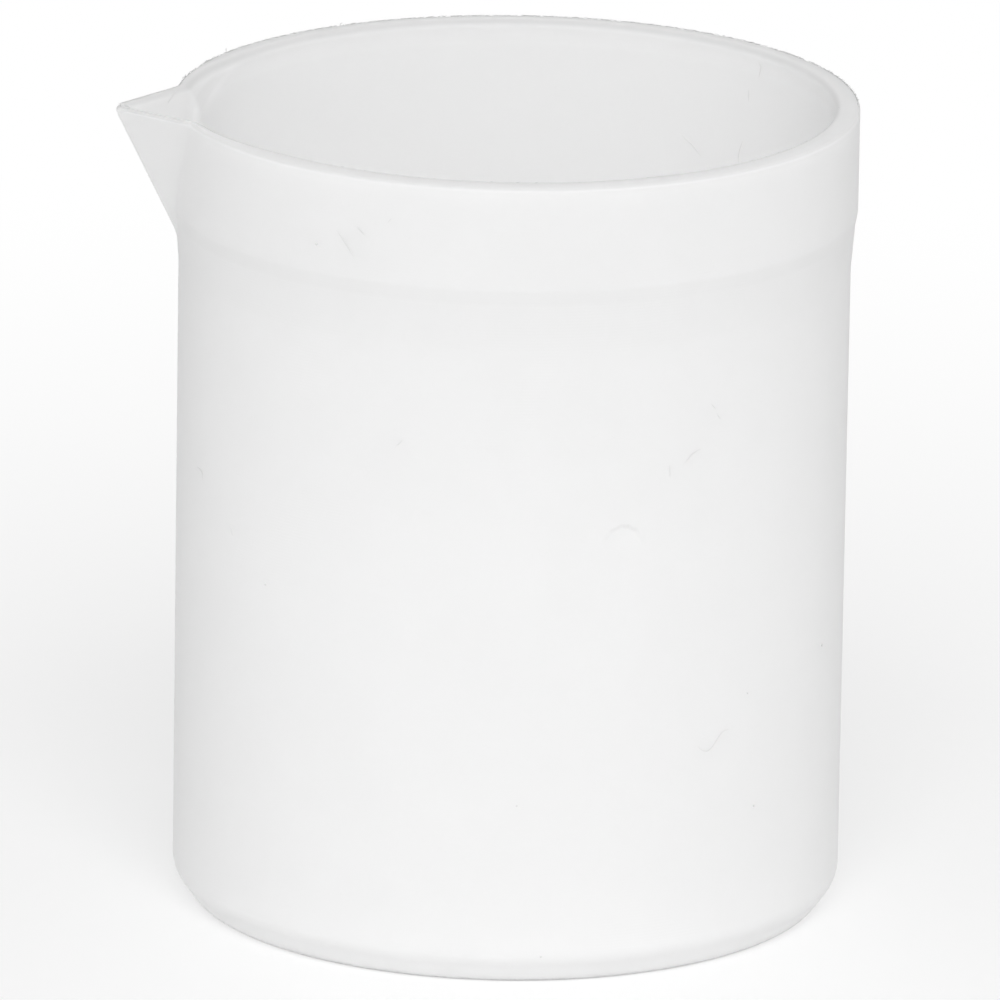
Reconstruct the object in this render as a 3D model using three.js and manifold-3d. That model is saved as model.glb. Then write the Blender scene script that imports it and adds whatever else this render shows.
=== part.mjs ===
// A laboratory beaker for mixing and pouring, in white fluoropolymer. It is one piece: a round
// cup with a flat floor, a chamfered foot, a thicker collar under the rim, and a V-shaped pouring
// spout whose channel runs into the bore. Millimetres, +Z up. The origin is the centre of the
// flat base, and the spout points along -X.

import * as THREE from 'three';
import * as BufferGeometryUtils from 'three/addons/utils/BufferGeometryUtils.js';
import Module from 'manifold-3d';

// The cup
const HEIGHT = 88.1;
const BODY_RADIUS = 36;
const WALL = 2.1;
const FLOOR = 3;
const FLOOR_CORNER_RADIUS = 5;

// The foot: a chamfer all round, whose lower edge is rounded onto the base
const FOOT_CHAMFER_WIDTH = 2.1;
const FOOT_CHAMFER_HEIGHT = 2.95;
const FOOT_EDGE_RADIUS = 1.4;

// The collar: a thicker band under the rim, with a short taper down to the body
const COLLAR_STEP = 0.65;
const COLLAR_HEIGHT = 11.3;
const COLLAR_TAPER_HEIGHT = 1.9;
const RIM_OUTER_EDGE_RADIUS = 0.4;
const RIM_INNER_EDGE_RADIUS = 1;

// The spout's outside: two flat flanks that meet in a narrow round ridge, with the tip cut off square
const SPOUT_REACH = 6.3;
const SPOUT_FLANK_ANGLE = 45;
const SPOUT_RIDGE_RADIUS = 0.7;
const SPOUT_NOSE_HEIGHT = 0.8;
const SPOUT_DEPTH = 15;

// The spout's inside: a channel that follows the flanks, and then flares out of the bore
const LIP_WALL = 0.4;
const CHANNEL_FOOT_RISE = 2;
const CHANNEL_SOFTNESS = 1.5;
const FLARE_SPREAD_ANGLE = 32;

// How finely round stretches are divided
const TURN_STEPS = 96;
const ARC_STEPS = 5;
const FLANK_STEPS = 6;
const FLARE_STEPS = 10;
const CHANNEL_LEVELS = 12;

// How far a cutting shape stands clear of the face that it cuts
const CUT_CLEARANCE = 2;

// Sizes that follow
const BORE_RADIUS = BODY_RADIUS - WALL;
const COLLAR_RADIUS = BODY_RADIUS + COLLAR_STEP;
const RIM_BORE_RADIUS = BORE_RADIUS + RIM_INNER_EDGE_RADIUS;
const TIP_RADIUS = COLLAR_RADIUS + SPOUT_REACH;
const RIDGE_SLOPE = (TIP_RADIUS - BODY_RADIUS) / (SPOUT_DEPTH - SPOUT_NOSE_HEIGHT);
const RIDGE_CENTRE = TIP_RADIUS + RIDGE_SLOPE * SPOUT_NOSE_HEIGHT - SPOUT_RIDGE_RADIUS;
const FLANK_ANGLE = THREE.MathUtils.degToRad(SPOUT_FLANK_ANGLE);
const FLANK_DISTANCE = RIDGE_CENTRE * Math.sin(FLANK_ANGLE) + SPOUT_RIDGE_RADIUS;
const RIDGE_END_ANGLE = Math.atan2(
  SPOUT_RIDGE_RADIUS * Math.cos(FLANK_ANGLE),
  RIDGE_CENTRE + SPOUT_RIDGE_RADIUS * Math.sin(FLANK_ANGLE),
);
const FLARE_START = Math.asin(FLANK_DISTANCE / COLLAR_RADIUS) - FLANK_ANGLE;
const FLARE_SPREAD = THREE.MathUtils.degToRad(FLARE_SPREAD_ANGLE);
const CHANNEL_TIP_REACH = TIP_RADIUS - LIP_WALL - RIM_BORE_RADIUS;
const CHANNEL_SLOPE = CHANNEL_TIP_REACH / (SPOUT_DEPTH - CHANNEL_FOOT_RISE);

const wasm = await Module();
wasm.setup();

function arc(centreX, centreY, radius, fromDegrees, toDegrees) {
  const points = [];
  for (let step = 0; step <= ARC_STEPS; step += 1) {
    const angle = THREE.MathUtils.degToRad(fromDegrees + ((toDegrees - fromDegrees) * step) / ARC_STEPS);
    points.push(new THREE.Vector2(centreX + radius * Math.cos(angle), centreY + radius * Math.sin(angle)));
  }
  return points;
}

function toSolid(geometry) {
  const bare = geometry.clone();
  bare.deleteAttribute('normal');
  bare.deleteAttribute('uv');
  const merged = BufferGeometryUtils.mergeVertices(bare);
  const index = merged.index.array;
  const corners = [];
  for (let first = 0; first < index.length; first += 3) {
    const [a, b, c] = index.slice(first, first + 3);
    if (a !== b && b !== c && c !== a) corners.push(a, b, c);
  }
  return new wasm.Manifold(new wasm.Mesh({
    numProp: 3,
    vertProperties: new Float32Array(merged.attributes.position.array),
    triVerts: new Uint32Array(corners),
  }));
}

function toGeometry(solid) {
  const mesh = solid.getMesh();
  const geometry = new THREE.BufferGeometry();
  geometry.setAttribute('position', new THREE.BufferAttribute(mesh.vertProperties, 3));
  geometry.setIndex(new THREE.BufferAttribute(mesh.triVerts, 1));
  geometry.computeVertexNormals();
  return geometry;
}

// Joins rings of points, listed from the lowest to the highest and each running anticlockwise
// seen from above, into one closed skin with a flat end at the bottom and at the top.
function loft(rings) {
  const count = rings[0].length;
  const positions = rings.flat().flatMap((point) => point.toArray());
  const index = [];
  for (let ring = 0; ring < rings.length - 1; ring += 1) {
    for (let step = 0; step < count; step += 1) {
      const here = ring * count + step;
      const next = ring * count + ((step + 1) % count);
      index.push(here, next, next + count, here, next + count, here + count);
    }
  }
  const lastRing = (rings.length - 1) * count;
  const bottomCentre = rings.length * count;
  const topCentre = bottomCentre + 1;
  for (const ring of [rings[0], rings[rings.length - 1]]) {
    const centre = new THREE.Vector3();
    ring.forEach((point) => centre.addScaledVector(point, 1 / count));
    positions.push(...centre.toArray());
  }
  for (let step = 0; step < count; step += 1) {
    const next = (step + 1) % count;
    index.push(bottomCentre, next, step, topCentre, lastRing + step, lastRing + next);
  }
  const geometry = new THREE.BufferGeometry();
  geometry.setAttribute('position', new THREE.Float32BufferAttribute(positions, 3));
  geometry.setIndex(index);
  return geometry;
}

// The round outside, turned from its profile: base, foot, body, taper, collar and rim edge.
function turnedBlank() {
  const chamferAngle = Math.atan2(FOOT_CHAMFER_HEIGHT, FOOT_CHAMFER_WIDTH);
  const edgeTangent = FOOT_EDGE_RADIUS * Math.tan(chamferAngle / 2);
  const chamferFoot = BODY_RADIUS - FOOT_CHAMFER_WIDTH;
  const chamferDegrees = THREE.MathUtils.radToDeg(chamferAngle);
  const taperFoot = HEIGHT - COLLAR_HEIGHT - COLLAR_TAPER_HEIGHT;
  const profile = [
    new THREE.Vector2(0, 0),
    ...arc(chamferFoot - edgeTangent, FOOT_EDGE_RADIUS, FOOT_EDGE_RADIUS, -90, chamferDegrees - 90),
    new THREE.Vector2(BODY_RADIUS, FOOT_CHAMFER_HEIGHT),
    new THREE.Vector2(BODY_RADIUS, taperFoot),
    new THREE.Vector2(COLLAR_RADIUS, HEIGHT - COLLAR_HEIGHT),
    ...arc(COLLAR_RADIUS - RIM_OUTER_EDGE_RADIUS, HEIGHT - RIM_OUTER_EDGE_RADIUS, RIM_OUTER_EDGE_RADIUS, 0, 90),
    new THREE.Vector2(0, HEIGHT),
  ];
  const geometry = new THREE.LatheGeometry(profile, TURN_STEPS);
  geometry.rotateX(Math.PI / 2);
  return toSolid(geometry);
}

// One level section of the spout's outside, drawn pointing along +X: the round ridge, the two
// flanks, and a straight back that lies inside the cup's wall.
function spoutSection(depth) {
  const inward = RIDGE_SLOPE * depth;
  const ridgeDegrees = 90 - SPOUT_FLANK_ANGLE;
  const backX = BORE_RADIUS - inward;
  const flankX = FLANK_DISTANCE / Math.sin(FLANK_ANGLE) - inward;
  const backY = (flankX - backX) * Math.tan(FLANK_ANGLE);
  const outline = [
    new THREE.Vector2(backX, -backY),
    ...arc(RIDGE_CENTRE - inward, 0, SPOUT_RIDGE_RADIUS, -ridgeDegrees, ridgeDegrees),
    new THREE.Vector2(backX, backY),
  ];
  return outline.map((point) => new THREE.Vector3(point.x, point.y, HEIGHT - depth));
}

// The spout's outside: its section slides inwards as it goes down, so that the ridge slopes to
// the body and ends inside the wall. Then the tip is cut off square.
function spoutBlank() {
  const rootDepth = SPOUT_DEPTH + WALL / 2 / RIDGE_SLOPE;
  const wedge = toSolid(loft([spoutSection(rootDepth), spoutSection(0)]));
  const cutSize = TIP_RADIUS + CUT_CLEARANCE;
  const cutter = new THREE.BoxGeometry(cutSize, cutSize, cutSize);
  cutter.translate(TIP_RADIUS + cutSize / 2, 0, HEIGHT);
  return wedge.subtract(toSolid(cutter));
}

// Distance from the cup's axis to the outside of the rim, at an angle from the spout's centre.
function rimRadius(angle) {
  const turn = Math.abs(angle);
  if (turn >= FLARE_START) return COLLAR_RADIUS;
  if (turn >= RIDGE_END_ANGLE) return FLANK_DISTANCE / Math.sin(turn + FLANK_ANGLE);
  const across = RIDGE_CENTRE * Math.sin(turn);
  const ridge = RIDGE_CENTRE * Math.cos(turn) + Math.sqrt(SPOUT_RIDGE_RADIUS ** 2 - across ** 2);
  return Math.min(ridge, TIP_RADIUS / Math.cos(turn));
}

// How far the channel's edge stands out of the rim's bore. It keeps the thin lip wall along the
// spout, and fades away over the flare on each side.
function channelReach(angle) {
  const fullReach = rimRadius(angle) - LIP_WALL - RIM_BORE_RADIUS;
  const past = THREE.MathUtils.clamp((Math.abs(angle) - FLARE_START) / FLARE_SPREAD, 0, 1);
  return fullReach * Math.cos((past * Math.PI) / 2) ** 2;
}

// How far the channel stands out of the bore at a depth below the rim. It slopes in evenly, and
// is rounded where it reaches the bore.
function channelOffset(angle, depth) {
  const reach = channelReach(angle);
  const softness = Math.min(CHANNEL_SOFTNESS, reach);
  const offset = reach - CHANNEL_SLOPE * depth;
  if (softness <= 0) return 0;
  const overlap = Math.max(softness - Math.abs(offset), 0);
  return Math.max(offset, 0) + overlap ** 2 / (4 * softness);
}

// Angles of the hollow's corners: close together at the tip, along the flanks and in the flare.
function hollowAngles() {
  const flareEnd = FLARE_START + FLARE_SPREAD;
  const restSteps = Math.round(((Math.PI - flareEnd) / (2 * Math.PI)) * TURN_STEPS);
  const stretches = [
    [0, RIDGE_END_ANGLE, ARC_STEPS],
    [RIDGE_END_ANGLE, FLARE_START, FLANK_STEPS],
    [FLARE_START, flareEnd, FLARE_STEPS],
    [flareEnd, Math.PI, restSteps],
  ];
  const half = [];
  for (const [from, to, steps] of stretches) {
    for (let step = 0; step < steps; step += 1) half.push(from + ((to - from) * step) / steps);
  }
  const mirrored = half.slice(1).reverse().map((angle) => -angle);
  return [...half, Math.PI, ...mirrored];
}

// The bore's profile from the floor to above the rim, with levels for the channel on the way.
function boreProfile() {
  const lowest = (CHANNEL_TIP_REACH + CHANNEL_SOFTNESS) / CHANNEL_SLOPE;
  const levels = [];
  for (let level = CHANNEL_LEVELS; level > 0; level -= 1) {
    const depth = RIM_INNER_EDGE_RADIUS + ((lowest - RIM_INNER_EDGE_RADIUS) * level) / CHANNEL_LEVELS;
    levels.push(new THREE.Vector2(BORE_RADIUS, HEIGHT - depth));
  }
  const cornerCentre = FLOOR + FLOOR_CORNER_RADIUS;
  return [
    ...arc(BORE_RADIUS - FLOOR_CORNER_RADIUS, cornerCentre, FLOOR_CORNER_RADIUS, -90, 0),
    ...levels,
    ...arc(RIM_BORE_RADIUS, HEIGHT - RIM_INNER_EDGE_RADIUS, RIM_INNER_EDGE_RADIUS, 180, 90),
    new THREE.Vector2(RIM_BORE_RADIUS, HEIGHT + CUT_CLEARANCE),
  ];
}

// The space inside the beaker: the bore, its rounded floor corner and the spout's channel.
function hollow() {
  const angles = hollowAngles();
  const rings = boreProfile().map((point) => {
    const depth = Math.max(HEIGHT - point.y, 0);
    return angles.map((angle) => {
      const radius = point.x + channelOffset(angle, depth);
      return new THREE.Vector3(radius * Math.cos(angle), radius * Math.sin(angle), point.y);
    });
  });
  return toSolid(loft(rings));
}

const fluoropolymer = new THREE.MeshStandardMaterial({ color: 0xf1f1ef, roughness: 0.55, metalness: 0 });
const body = turnedBlank().add(spoutBlank()).subtract(hollow());
const beaker = new THREE.Mesh(toGeometry(body), fluoropolymer);
beaker.name = 'beaker';

// The shapes above are drawn with the spout along +X, and the finished cup is turned half a turn.
beaker.rotation.z = Math.PI;

const model = new THREE.Group();
model.add(beaker);

export default model;
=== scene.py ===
"""Looks of a laboratory beaker in white fluoropolymer, moulded as a blank and then turned.

The cup is one piece. Its section is drawn as a chain of corners and unrolled into a flat skin, and a
geometry node tree pushes the spout and the pouring channel out of that skin and wraps it round the
axis. Metres, +Z up, with the spout along -X. A turn is an angle from the spout towards the front.
"""

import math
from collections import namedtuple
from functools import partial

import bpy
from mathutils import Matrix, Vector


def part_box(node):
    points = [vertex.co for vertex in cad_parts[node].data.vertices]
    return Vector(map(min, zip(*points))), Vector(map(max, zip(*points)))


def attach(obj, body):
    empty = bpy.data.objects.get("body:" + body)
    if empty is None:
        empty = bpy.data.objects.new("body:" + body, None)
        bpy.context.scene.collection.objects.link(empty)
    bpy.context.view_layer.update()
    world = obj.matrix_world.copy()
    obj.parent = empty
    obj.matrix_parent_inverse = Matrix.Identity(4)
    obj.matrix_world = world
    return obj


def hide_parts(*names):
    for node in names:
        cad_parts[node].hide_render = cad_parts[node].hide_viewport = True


bl_info = {
    "name": "Laboratory Beaker",
    "version": (1, 0, 0),
    "blender": (4, 5, 0),
    "location": "View3D > Sidebar > Beaker",
    "description": "Makes the looks of a fluoropolymer beaker round its packed model",
    "category": "Object",
}

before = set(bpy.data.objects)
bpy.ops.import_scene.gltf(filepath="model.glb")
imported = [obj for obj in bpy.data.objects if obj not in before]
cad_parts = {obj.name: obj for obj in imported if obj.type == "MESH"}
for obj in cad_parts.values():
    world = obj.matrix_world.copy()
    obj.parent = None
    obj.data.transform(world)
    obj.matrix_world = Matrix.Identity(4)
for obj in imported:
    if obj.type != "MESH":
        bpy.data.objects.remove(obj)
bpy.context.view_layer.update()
NODE_LOW, NODE_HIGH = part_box("beaker")

MM = 0.001
BODY = "root"
VECTOR_MATH = "ShaderNodeVectorMath"
SPLIT = "ShaderNodeSeparateXYZ"
RAMP = "ShaderNodeMapRange"
MIX = "ShaderNodeMix"
NOISE = "ShaderNodeTexNoise"
GROUP = "GeometryNodeGroup"
ATTRIBUTE = "GeometryNodeInputNamedAttribute"
FLOAT = "NodeSocketFloat"
WHOLE = "NodeSocketInt"
VECTOR = "NodeSocketVector"
GEOMETRY = "NodeSocketGeometry"
MATERIAL = "NodeSocketMaterial"

# The skin's columns: how many steps lead up to each turn, in degrees. They crowd at the spout's nose,
# along its flanks, and at the nick in the wall
COLUMN_STRETCHES = (
    (-46, 54), (-20, 32), (-6, 34), (-1.2, 16), (1.2, 24), (6, 16), (20, 34), (46, 32),
    (98.2, 22), (106.6, 50), (180, 32),
)

# A straight run of the section has a row this close to each end, so that its shading stays flat
HOLD = 0.12 * MM

# Rounds and clearances of the section
FOOT_EDGE_ROUND = 1.4 * MM
FOOT_CORNER_ROUND = 3 * MM
RUN_OUT_ROUND = 10 * MM
TAPER_ROUND = 3 * MM
COLLAR_FOOT_ROUND = 2 * MM
BELOW_SPOUT = 2 * MM

# The fluoropolymer's refraction, which is low for a plastic, and the roughness of matt surfaces
IOR = 1.36
MATT = 0.8

# Patterns on it: clouds from uneven sintering, rubbed patches and the roughness they add or take,
# turning marks, and pits kept from the moulding. The tool's feed is about 0.1 mm a turn, but marks
# that stand closer than 0.35 mm would not show
CLOUD_WIDTH = 12 * MM
RUB_WIDTH = 5 * MM
RUB_SPREAD = 0.07
MARK_PITCH = 0.35 * MM
PIT_WIDTH = 0.6 * MM
RELIEF_HEIGHT = 0.01 * MM

# Painted light low on the wall, which lifts the shade near the floor: full at this height, and this
# far towards the bore's lighter white
FOOT_LIGHT_FULL_HEIGHT = 0.2 * MM
FOOT_LIGHT_SHARE = 0.85

# Past the bore's radius: where the bore's painted light stops, where the channel's painted shade
# grows, and where the crease between bore and channel starts and ends. The crease's painted shade is a
# share of the channel's
BORE_LIGHT_STOPS_PAST = 0.1 * MM
CHANNEL_SHADE_GROWS = (0.5 * MM, 1.5 * MM)
CREASE_STARTS = (0.01 * MM, 0.15 * MM)
CREASE_ENDS = (0.35 * MM, 0.9 * MM)
CREASE_SHADE = 0.8

# Below the rim's top: its rounded edges, the crease's full painted shade, and the top of the lip,
# whose painted shade is full this far past the collar
EDGE_DEPTH = 0.5 * MM
CREASE_DEPTH = 1.2 * MM
LIP_TOP_DEPTH = 0.35 * MM
LIP_PAST_COLLAR = 0.7 * MM

# The floor's shadow fades out between these distances, and this share of it is cleared nearer in
SHADOW_FADES = (0.05, 0.3)
SHADOW_CLEARED = 0.6

# Painted shade on the rim's edges, which dims the bright light there: its inner and outer round, and
# the wall just under the outer one
INNER_ROUND_SHADE = 0.85
OUTER_ROUND_SHADE = 0.6
UNDER_ROUND_SHADE = 0.35

# The camera, fitted to the photograph's outline. The picture is 1000 pixels wide
PICTURE_PIXELS = 1000
FOCAL_PIXELS = 15512
SENSOR_WIDTH = 36
CAMERA_DISTANCE = 1.6684
CAMERA_ELEVATION = math.radians(16.11)
CAMERA_ORBIT_HEIGHT = 45 * MM
CAMERA_TARGET_ASIDE = -1.17 * MM
CAMERA_TARGET_HEIGHT = 43.45 * MM
CAMERA_ROLL = math.radians(0.9)
SPOUT_TOWARDS_CAMERA = math.radians(7)

# Fibres on the outside and in the bore: turns in degrees and heights in millimetres that each passes
OUTER_FIBRES = (
    ((14.5, 50.4), (15.8, 50.4), (16.9, 50.1), (16.9, 49.4)),
    ((27.2, 46), (27.9, 45)),
    ((52.4, 81.7), (54.6, 80), (55.7, 79)),
    ((56, 82.5), (57.5, 81.7)),
    ((61.6, 83.4), (62.3, 83.9)),
    ((63.3, 59), (64.4, 59.7)),
    ((110.6, 56.8), (110.7, 55.5)),
    ((113.5, 56.8), (115, 57.7), (116.6, 58.1)),
    ((117.2, 25.2), (118.4, 24.6), (119.9, 24.7), (122.2, 26.2), (123.8, 26.4)),
    ((118.7, 62.8), (119.6, 62.2)),
    ((119.9, 61.6), (120.6, 61)),
)
BORE_FIBRES = (
    ((-128.9, 76.8), (-130, 76.3), (-131.4, 75.8), (-133.2, 74.8)),
    ((-142.3, 74.9), (-142.3, 75.7), (-142.6, 76.6), (-143.3, 77.6)),
    ((-144.6, 83.5), (-144.7, 82.2)),
    ((-146.9, 87), (-147.8, 86.5), (-147.3, 85.2)),
)

# Swarf in the channel and on the rim, with a radius in millimetres at each place too
RIM_FIBRES = (
    ((-6.8, 87, 37.3), (-8.2, 87.5, 36.9), (-10.2, 87.9, 36.5)),
    ((-36.9, 87.8, 36.3), (-38.1, 88, 36.8), (-39.3, 88, 37.3)),
    ((-64.6, 87.8, 36.3), (-65.3, 88, 36.8), (-65.9, 88, 37.05)),
    ((135.7, 88, 34.7), (136.4, 88.03, 34.6), (136.9, 88.03, 34.4), (137.4, 87.9, 34.2)),
)

# Specks on the outside: turn in degrees, height in millimetres, and size as a share of the largest
SPECKS = (
    (37, 41, 0.9), (48.3, 79.9, 1), (84.8, 20.2, 0.6), (89.3, 3.4, 0.7), (128, 29.9, 0.6),
    (130.1, 17.1, 0.9), (151.4, 31.7, 1),
)

Corner = namedtuple("Corner", "radius height round arc_steps run_steps inside")
Spot = namedtuple("Spot", "place inside height off_axis")


def linear(text):
    """The linear colour of an sRGB hex value such as #F1F1EF, without alpha."""
    parts = [int(text[start:start + 2], 16) / 255 for start in (1, 3, 5)]
    return [part / 12.92 if part <= 0.04045 else ((part + 0.055) / 1.055) ** 2.4 for part in parts]


def length(name, millimetres, description):
    """A length that a user may change, given in millimetres."""
    return bpy.props.FloatProperty(
        name=name, description=description, default=millimetres * MM, min=0, precision=5,
        subtype="DISTANCE", unit="LENGTH",
    )


def angle(name, degrees, description):
    """An angle that a user may change, given in degrees."""
    return bpy.props.FloatProperty(
        name=name, description=description, default=math.radians(degrees),
        subtype="ANGLE", unit="ROTATION",
    )


def share(name, default, description, most=1):
    """A number from 0 to 1, or to another most, that a user may change."""
    return bpy.props.FloatProperty(
        name=name, description=description, default=default, min=0, max=most, subtype="FACTOR",
    )


def count(name, default, description):
    """A whole number that a user may change."""
    return bpy.props.IntProperty(name=name, description=description, default=default, min=0)


def colour(name, text, description):
    """A colour that a user may change, given as an sRGB hex value."""
    return bpy.props.FloatVectorProperty(
        name=name, description=description, default=linear(text), min=0, max=1, size=3,
        subtype="COLOR",
    )


def feed(node, feeds):
    """Feeds a node's inputs with values, with sockets, or with other nodes' first outputs."""
    for key, given in feeds.items():
        if isinstance(given, bpy.types.Node):
            given = given.outputs[0]
        if isinstance(given, bpy.types.NodeSocket):
            node.id_data.links.new(given, node.inputs[key])
        else:
            node.inputs[key].default_value = given


def add(tree, kind, *feeds, named=None, **settings):
    """Adds a node with these settings, and feeds its inputs in order or by name. A kind in capitals
    is an operation of the math node."""
    if kind.isupper():
        kind, settings["operation"] = "ShaderNodeMath", kind
    node = tree.nodes.new(kind)
    for setting, value in settings.items():
        setattr(node, setting, value)
    feed(node, {**dict(enumerate(feeds)), **(named or {})})
    return node


def start_tree(name, inputs, output_kind=GEOMETRY, output_name="Geometry"):
    """Starts a geometry node tree, and gives what puts nodes in it, its inputs' sockets and its end.
    An input is a pair of a name and a kind, or just the name for a plain number."""
    tree = bpy.data.node_groups.new(name, "GeometryNodeTree")
    for entry in inputs:
        socket_name, kind = (entry, FLOAT) if isinstance(entry, str) else entry
        tree.interface.new_socket(socket_name, in_out="INPUT", socket_type=kind)
    tree.interface.new_socket(output_name, in_out="OUTPUT", socket_type=output_kind)
    put = partial(add, tree)
    return put, put("NodeGroupInput").outputs, put("NodeGroupOutput")


def end_tree(end, result):
    """Hands a node's first output to the tree's end, and gives the tree."""
    feed(end, {0: result})
    return end.id_data


def grow(obj, tree, values):
    """Runs a geometry node tree on an object with these inputs, and keeps the result as its mesh."""
    modifier = obj.modifiers.new(tree.name, "NODES")
    modifier.node_group = tree
    for item in tree.interface.items_tree:
        if item.in_out == "INPUT" and item.name in values:
            modifier[item.identifier] = values[item.name]
    bpy.context.scene.collection.objects.link(obj)
    graph = bpy.context.evaluated_depsgraph_get()
    mesh = bpy.data.meshes.new_from_object(
        obj.evaluated_get(graph), preserve_all_data_layers=True, depsgraph=graph,
    )
    obj.modifiers.clear()
    blank, obj.data = obj.data, mesh
    mesh.name = obj.name
    bpy.data.meshes.remove(blank)
    if not mesh.polygons:
        raise RuntimeError(f"{obj.name} came out empty")


def scene_settings(scene):
    """The sizes, the traces and the looks that the panel shows."""
    return scene.beaker_sizes, scene.beaker_traces, scene.beaker_looks


def hand_over(obj, *nodes):
    """Puts a finished piece on the beaker's body, in place of these CAD nodes."""
    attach(obj, BODY)
    if nodes:
        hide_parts(*nodes)


class BeakerSizes(bpy.types.PropertyGroup):
    """The cup's sizes. Its height, collar radius and spout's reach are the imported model's."""

    body_radius: length("Body Radius", 36, "Outside radius of the wall below the collar")
    wall: length("Wall", 2.1, "Thickness of the wall")
    floor: length("Floor", 3, "Thickness of the floor")
    floor_round: length("Floor Round", 5, "Radius where the bore meets the floor")
    foot_width: length("Foot Chamfer Width", 2.1, "How far the foot's chamfer draws in")
    foot_height: length("Foot Chamfer Height", 2.95, "How high the foot's chamfer rises")
    collar_height: length("Collar Height", 11.3, "Height of the collar's straight band")
    taper_width: length("Collar Taper Width", 0.27, "How far the taper under the collar draws in")
    taper_height: length("Collar Taper Height", 1.6, "Height of the taper under the collar")
    run_out: length("Collar Run-out", 6.5, "How far below the collar its step has faded")
    rim_outer_round: length("Rim Outer Round", 0.4, "Radius of the rim's outer edge")
    rim_inner_round: length("Rim Inner Round", 0.9, "Radius of the rim's inner edge")
    rim_fall: length("Rim Fall", 0.16, "How far the rim's top falls towards its outer edge")
    spout_depth: length("Spout Depth", 15, "How far below the rim the spout's ridge meets the body")
    flank_angle: angle("Flank Angle", 45, "Angle of the spout's flanks to its centre line")
    ridge_radius: length("Ridge Radius", 0.7, "Radius of the ridge where the flanks meet")
    nose_height: length("Nose Height", 0.8, "Height of the square nose at the spout's tip")
    crease: length("Crease Softness", 0.8, "How softly the flanks run into the wall")
    lip_wall: length("Lip Wall", 0.4, "Thickness of the spout's lip")
    channel_rise: length("Channel Foot Rise", 2, "How far above the ridge's foot the channel ends")
    channel_softness: length("Channel Softness", 2.6, "How softly the channel runs into the bore")
    flare_spread: angle("Flare Spread", 32, "Angle over which the channel fades on each side")
    nick_turn: angle("Nick Turn", 102.3, "Where the nick lies, as a turn from the spout")
    nick_height: length("Nick Place", 48.3, "Height of the nick's centre")
    nick_radius: length("Nick Radius", 2.9, "Radius of the nick's arched edge")
    nick_depth: length("Nick Depth", 0.21, "How deep the nick is under its edge")


class BeakerTraces(bpy.types.PropertyGroup):
    """What the tool and the bench left on the cup."""

    fibre_thickness: length("Fibre Thickness", 0.09, "Thickness of a loose fibre at its middle")
    speck_size: length("Speck Size", 0.3, "Width of the largest speck")
    outer_burrs: count("Outer Burrs", 850, "How many burrs the rim's outer edge has")
    inner_burrs: count("Inner Burrs", 50, "How many burrs the rim's inner edge has")
    burr_reach: length("Burr Reach", 0.25, "How far the longest burr stands out of its edge")
    burr_sweep: length("Burr Sweep", 1.2, "How far a burr may run along its edge")
    burr_thickness: length("Burr Thickness", 0.07, "Thickness of a burr at its root")
    burr_seed: count("Burr Seed", 4, "Number that picks the burrs' places")


class BeakerLooks(bpy.types.PropertyGroup):
    """Colours and finish of the beaker and the stage."""

    white: colour("White", "#EBEBEB", "Colour of the fluoropolymer outside")
    cloud: colour("Cloud", "#E7E7E7", "Colour of its faint clouds")
    # Painted shade on the rim's rounded edges, which dims the light that they catch
    edge: colour("Edge", "#D5D5D5", "Colour of the rim's rounded edges, whose fine burrs hold dust")
    # Painted shade in the pouring channel, which faces up towards the lamp
    channel_painted_shade: share("Channel Wear", 0.4, "How far the pouring channel takes on the edges' colour")
    # Painted shade on the top of the spout's lip
    lip: colour("Lip", "#D4D4D4", "Colour of the top of the spout's lip, which poured liquid stains")
    lint: colour("Lint", "#E0E0E0", "Colour of loose fibres and specks")
    bore_lint: colour("Bore Lint", "#EDEDED", "Colour of loose fibres in the bore")
    burr: colour("Burr", "#C0C0C0", "Colour of the rim's burrs and swarf")
    # Painted light: a lighter white in place of light in the bore, on the foot, where the floor's
    # shade falls, and on the wall's lower half. The next four settings give this white and where it
    # lies
    painted_light_white: colour("Bore White", "#FDFDFD", "Colour of the fluoropolymer where untouched")
    foot_painted_light: length("Clean Foot", 3.2, "How far up from the foot the wall has some of that colour")
    lower_wall_painted_light: share("Unheld", 0.17, "How far the wall's lower half has that colour, as it is held less")
    bore_painted_light_depth: length("Handled Depth", 2.5, "How far down the bore that colour is reached")
    roughness: share("Roughness", 0.65, "Roughness of the turned surface")
    translucency: share("Translucency", 0.8, "How much light wanders under the surface")
    light_path: length("Light Path", 2.6, "How far light wanders under the surface")
    floor_white: colour("Floor", "#F8F8F8", "Colour of the floor")
    key_light: share("Key Light", 0.73, "Light on a face turned to the lamp. 1 is the full colour", 2)
    side_light: share("Side Light", 1.1, "How bright the soft walls are at their foot", 2)
    side_lift: share("Side Lift", 0.65, "How much brighter than that they grow towards the top", 2)


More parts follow.
